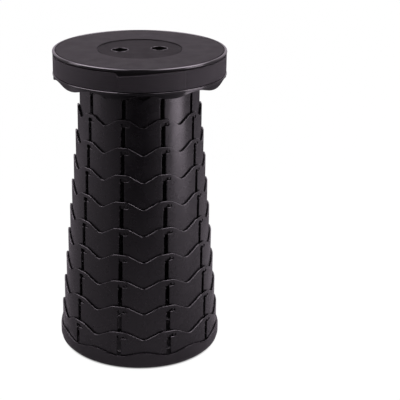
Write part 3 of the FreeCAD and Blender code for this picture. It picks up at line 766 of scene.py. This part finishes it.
def make_band():
    """The webbing round the seat's side."""
    steps = 240
    ripple_size = 0.12 * MM
    ripple_pace = 0.35
    middle = STRAP_INNER + STRAP_THICKNESS / 2
    stations = []
    for step in range(steps):
        azimuth = 2 * math.pi * step / steps
        ripple = ripple_size * noise.noise(Vector((step * ripple_pace, 0, 0)))
        stations.append((on_circle(azimuth, middle + ripple, STRAP_FOOT), on_circle(azimuth, 1, 0),
                         abs(ripple), strap_droop(azimuth), middle * azimuth))
    band = to_mesh(ribbon(stations, STRAP_WIDTH, STRAP_THICKNESS, closed=True), "StrapBand")
    add_piece("StrapBand", band, "seat", "webbing", "strap_band")


def make_tail():
    """The tail that lies over the webbing: its free end curls out a little, the other end tucks in."""
    start = math.radians(-14)
    end = math.radians(30)
    steps = 60
    thickness = 1.1 * MM
    curl_size = 0.8 * MM
    tuck_size = 0.7 * MM
    inset = 0.3 * MM
    stations = []
    for step in range(steps + 1):
        share = step / steps
        azimuth = start + (end - start) * share
        curl = curl_size * max(0, 1 - share * 12) ** 2
        tuck = tuck_size * max(0, share * 8 - 7)
        radius = STRAP_INNER + STRAP_THICKNESS * 1.5 + curl - tuck
        stations.append((on_circle(azimuth, radius, STRAP_FOOT), on_circle(azimuth, 1, 0), inset,
                         inset + strap_droop(azimuth), radius * azimuth))
    tail = to_mesh(ribbon(stations, STRAP_WIDTH, thickness), "StrapTail")
    add_piece("StrapTail", tail, "seat", "webbing")


def make_loop():
    """The carrying loop at the back, which sags, leans out and creases more the further out it is."""
    slack_start = 150 * MM
    slack_span = 20 * MM
    crease_size = 1.1 * MM
    crease_pace = 90
    sag_ends = 2.5 * MM
    sag_middle = 1.5 * MM
    lean_share = 0.25
    plan = loop_path()
    stations = []
    along = 0
    for index, (place, outward) in enumerate(plan):
        if index:
            along += (place - plan[index - 1][0]).length
        share = min(max((place.y - slack_start) / slack_span, 0), 1)
        crease = crease_size * share * noise.noise(Vector((place.x * crease_pace, 0.5, 0)))
        sag = share * (sag_ends + sag_middle * math.cos(place.x / LOOP_HALF * math.pi / 2))
        spot = place + outward * crease + UP * (STRAP_FOOT - sag)
        lean = (outward + UP * lean_share * share).normalized()
        stations.append((spot, lean, 0, 0, along))
    loop = to_mesh(ribbon(stations, LOOP_WIDTH, STRAP_THICKNESS), "CarryLoop")
    add_piece("CarryWebbing", loop, "seat", "webbing", "carry_loop")


def loop_path():
    """The carrying loop's middle line in plan, from the right leg to the left, with its outward side."""
    leg_steps = 12
    turn_steps = 12
    back_steps = 6
    overlap = 0.6 * MM
    outer = STRAP_INNER + STRAP_THICKNESS
    leg = LOOP_HALF - STRAP_THICKNESS / 2
    corner = LOOP_CORNER - STRAP_THICKNESS / 2
    root = math.sqrt(outer ** 2 - LOOP_HALF ** 2) - overlap
    back = outer + LOOP_REACH - STRAP_THICKNESS / 2
    turn_start = back - corner
    flat = leg - corner
    path = []
    for step in range(leg_steps):
        path.append((Vector((leg, root + (turn_start - root) * step / leg_steps, 0)), Vector((1, 0, 0))))
    for step in range(turn_steps):
        turn = math.pi / 2 * step / turn_steps
        outward = Vector((math.cos(turn), math.sin(turn), 0))
        path.append((Vector((flat, turn_start, 0)) + outward * corner, outward))
    mirrored = [(Vector((-place.x, place.y, 0)), Vector((-outward.x, outward.y, 0)))
                for place, outward in reversed(path)]
    for step in range(2 * back_steps + 1):
        path.append((Vector((flat * (1 - step / back_steps), back, 0)), Vector((0, 1, 0))))
    return path + mirrored


def make_cover():
    """The seat cover with its bead, groove, recess, finger holes and ribs."""
    rib_bottom = 9 * MM
    rib_wall = 2 * MM
    rib_sink = 0.4 * MM
    rib_round = 0.4 * MM
    boss_length = 5.7 * MM
    ring_rib_inner, ring_rib_outer = 50 * MM, 52 * MM
    spoke_start, spoke_end = 51.5 * MM, 74.5 * MM
    side_inner = SIDE_RADIUS - SIDE_WALL
    under_dish = SEAT_UNDER - DISH_DEPTH
    top_dish = SEAT_TOP - DISH_DEPTH
    groove = SEAT_RADIUS - BEAD
    builder = bmesh.new()
    lathe(builder, rounded([
        (0.5 * MM, under_dish, 0),
        (DISH_RADIUS, under_dish, 0.6 * MM),
        (DISH_RADIUS + DISH_DEPTH, SEAT_UNDER, 0.6 * MM),
        (side_inner - 2 * MM, SEAT_UNDER, 1 * MM),
        (side_inner, SEAT_UNDER - 2 * MM, 1 * MM),
        (side_inner, SIDE_FOOT, 0.4 * MM),
        (SIDE_RADIUS, SIDE_FOOT, 0.4 * MM),
        (SIDE_RADIUS, SEAT_TOP - BEAD, 0.4 * MM),
        (groove + 0.3 * MM, SEAT_TOP - BEAD, 0.2 * MM),
        (groove + 0.3 * MM, SEAT_TOP - 1.3 * MM, 0.2 * MM),
        (groove - 1.0 * MM, SEAT_TOP - 1.3 * MM, 0.2 * MM),
        (groove - 1.2 * MM, SEAT_TOP - 0.1 * MM, 0.4 * MM),
        (DISH_RADIUS + DISH_DEPTH + 0.6 * MM, SEAT_TOP - 0.1 * MM, 0.5 * MM),
        (DISH_RADIUS + 0.8 * MM, top_dish - 0.7 * MM, 0.3 * MM),
        (DISH_RADIUS, top_dish - 0.7 * MM, 0.3 * MM),
        (DISH_RADIUS - 0.7 * MM, top_dish, 0.5 * MM),
        (0.5 * MM, top_dish, 0),
    ], 3), SEAT_STEPS)
    close_axis(builder, (under_dish, top_dish))
    cutter = bmesh.new()
    for centre in hole_centres():
        lathe(cutter, disc_profile(HOLE_RADIUS, under_dish - MM, SEAT_TOP), HOLE_STEPS, centre)
    mesh = subtract(to_mesh(builder, "SeatCover"), cutter)
    builder = bmesh.new()
    builder.from_mesh(mesh)
    rib_low = SEAT_UNDER - rib_bottom
    rib_high = under_dish + rib_sink
    boss_low = under_dish - boss_length
    for centre in hole_centres():
        lathe(builder, rounded([
            (HOLE_RADIUS, rib_high, 0),
            (HOLE_RADIUS, boss_low, rib_round),
            (HOLE_RADIUS + rib_wall, boss_low, rib_round),
            (HOLE_RADIUS + rib_wall, rib_high, 0),
        ]), HOLE_STEPS, centre)
    lathe(builder, rounded([
        (ring_rib_inner, rib_high, 0),
        (ring_rib_inner, rib_low, rib_round),
        (ring_rib_outer, rib_low, rib_round),
        (ring_rib_outer, rib_high, 0),
    ]), RIB_STEPS)
    for petal in range(PETALS):
        direction = on_circle(SLOT_AZIMUTH + petal * PETAL, 1, 0)
        box_solid(builder, direction * (spoke_start + spoke_end) / 2, direction, spoke_end - spoke_start,
                  rib_wall, rib_low, SEAT_UNDER + rib_sink)
    add_piece("SeatTop", crisp(to_mesh(builder, "SeatTop")), "seat", "seat", "seat_cover")

    builder = bmesh.new()
    lathe(builder, rounded([
        (SEAT_RADIUS - BEAD + 0.2 * MM, SEAT_TOP - BEAD, 0.6 * MM),
        (SEAT_RADIUS, SEAT_TOP - BEAD, 1.6 * MM),
        (SEAT_RADIUS, SEAT_TOP, 2.4 * MM),
        (SEAT_RADIUS - BEAD + 0.2 * MM, SEAT_TOP, 1.0 * MM),
    ], 6), SEAT_STEPS)
    for centre in hole_centres():
        rim = bead_profile(HOLE_RADIUS + 0.5 * MM, top_dish - 0.1 * MM, 0.5 * MM)
        lathe(builder, rim, HOLE_STEPS, centre)
    add_piece("SeatBead", to_mesh(builder, "SeatBead"), "seat", "gloss")


def make_skirt():
    """The wavy skirt under the seat's side, with its glossy bead and the upstand inside the cover."""
    wall = 2.2 * MM
    top = SIDE_FOOT - 1.2 * MM
    half_wave = wave(SKIRT_RADIUS, WAVE_DEPTH, WAVE_ROUND, 0, WAVE_ANGLE)
    upstand_inner, upstand_outer = 119.2 * MM, 120.5 * MM
    upstand = 6 * MM
    end = SKIRT_RADIUS * PETAL / 2 + PLATE_MARGIN
    left = [(-across, SKIRT_FOOT + drop) for across, drop in reversed(half_wave)]
    edge = left + [(-across, up) for across, up in reversed(left[:-1])]
    loop = [(-end, top), (-end, SKIRT_FOOT)] + edge + [(end, SKIRT_FOOT), (end, top)]
    sheet = flat_sheet([loop], wall, 0.6 * MM)
    skirt = wrap_petals(sheet, SKIRT_RADIUS, wall)
    bmesh.ops.rotate(skirt, verts=skirt.verts, cent=(0, 0, 0), matrix=Matrix.Rotation(PETAL / 2, 3, "Z"))
    lathe(skirt, rounded([
        (SKIRT_RADIUS - 1.5 * MM, SIDE_FOOT - 3.6 * MM, 0.5 * MM),
        (SEAT_RADIUS, SIDE_FOOT - 3.4 * MM, 1.4 * MM),
        (SEAT_RADIUS, SIDE_FOOT, 1.4 * MM),
        (upstand_outer, SIDE_FOOT, 0),
        (upstand_outer, SIDE_FOOT + upstand, 0.4 * MM),
        (upstand_inner, SIDE_FOOT + upstand, 0.4 * MM),
        (upstand_inner, SIDE_FOOT - 3.0 * MM, 0.6 * MM),
    ], 5), SEAT_STEPS)
    add_piece("WavySkirt", crisp(to_mesh(skirt, "WavySkirt", PETAL_GAP)), "seat", "gloss", "seat_skirt")


def make_collar():
    """The collar under the seat, with the pins that hold the uppermost ring."""
    flange = 6 * MM
    radius = RING_RADII[0]
    inner = radius - RING_WALL
    foot = CREST_TOP + RING_RISE - RING_HEIGHT
    builder = bmesh.new()
    lathe(builder, rounded([
        (inner, foot, 0.6 * MM),
        (radius, foot, 0.6 * MM),
        (radius, SEAT_UNDER, 0.2 * MM),
        (inner - flange, SEAT_UNDER, 0.5 * MM),
        (inner - flange, SEAT_UNDER - RING_WALL, 0.5 * MM),
        (inner, SEAT_UNDER - RING_WALL, 0.8 * MM),
    ]), COLLAR_STEPS)
    add_pins(builder, radius, foot)
    add_piece("PinCollar", crisp(to_mesh(builder, "PinCollar")), "seat", "ring", "seat_collar")


make_world()
make_floor()
make_camera()
make_lamp("KeySoftbox", (1.6, -0.5, 0.9), (0, 0, 0.22), 0.9, 1.4, 7)
make_lamp("LowSoftbox", (1.0, -0.32, 0.28), (0, 0, 0.3), 0.5, 0.56, 3.2)
make_lamp("FillSoftbox", (-1.7, 0.0, 0.8), (0, 0, 0.22), 0.6, 1.4, 7.5)
make_lamp("TopSoftbox", (0.0, 0.3, 2.0), (0, 0, 0.3), 1.0, 1.0, 1.5)
for number in range(1, RINGS + 1):
    make_ring(number)
make_cover()
make_skirt()
make_collar()
make_band()
make_tail()
make_loop()


for name, key in {"base_dish": "shell", "strap_slider": "gloss"}.items():
    paint(NODES[name], key)
    soften(NODES[name], 0.5 * MM)

bpy.context.scene.view_settings.view_transform = "Standard"
